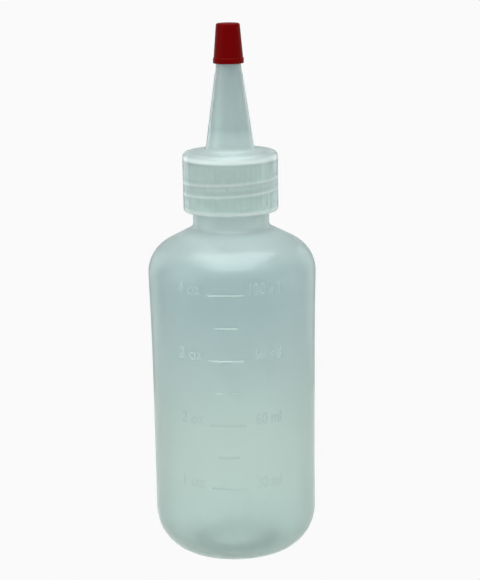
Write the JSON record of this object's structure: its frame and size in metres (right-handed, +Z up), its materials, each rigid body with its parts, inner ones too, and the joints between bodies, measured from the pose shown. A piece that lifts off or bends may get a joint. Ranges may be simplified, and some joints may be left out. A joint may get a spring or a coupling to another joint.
{
  "type": "glue applicator bottle",
  "caption": "Translucent squeeze bottle for glue with a ribbed screw-on cap, a long tapered spout and a push-on tip cap.",
  "frame": {"origin": "centre of the bottle's base ring, on the surface it stands on", "axes": "+Z up along the axis of the bottle, cap and spout; -Y is the front, with the volume marks; +X is to the right of someone facing the marks"},
  "size_m": [0.047, 0.0472, 0.1495],
  "materials": {
    "natural_polyethylene": "milky translucent, satin",
    "foam_liner": "white foamed polyethylene, matte",
    "natural_polyethylene_cap": "milky translucent, satin",
    "red_polyethylene": "opaque red, soft gloss"
  },
  "bodies": {
    "bottle": {"bottle": "natural_polyethylene"},
    "liner": {"seal_liner": "foam_liner"},
    "spout_cap": {"spout_cap": "natural_polyethylene_cap"},
    "tip_cap": {"tip_cap": "red_polyethylene"}
  },
  "joints": [
    {"name": "cap_rise", "type": "slide", "parent": "bottle", "child": "liner", "axis": [0, 0, 1], "range_m": [0, 0.0143]},
    {"name": "cap_turn", "type": "hinge", "parent": "liner", "child": "spout_cap", "pos_m": [0, 0, 0.11066], "axis": [0, 0, 1], "range_deg": [0, 1620]},
    {"name": "tip_pull", "type": "slide", "parent": "spout_cap", "child": "tip_cap", "axis": [0, 0, 1], "range_m": [0, 0.015]}
  ],
  "couplings": [
    {"joint": "cap_rise", "follows": "cap_turn", "m_per_rad": 0.00050531}
  ]
}
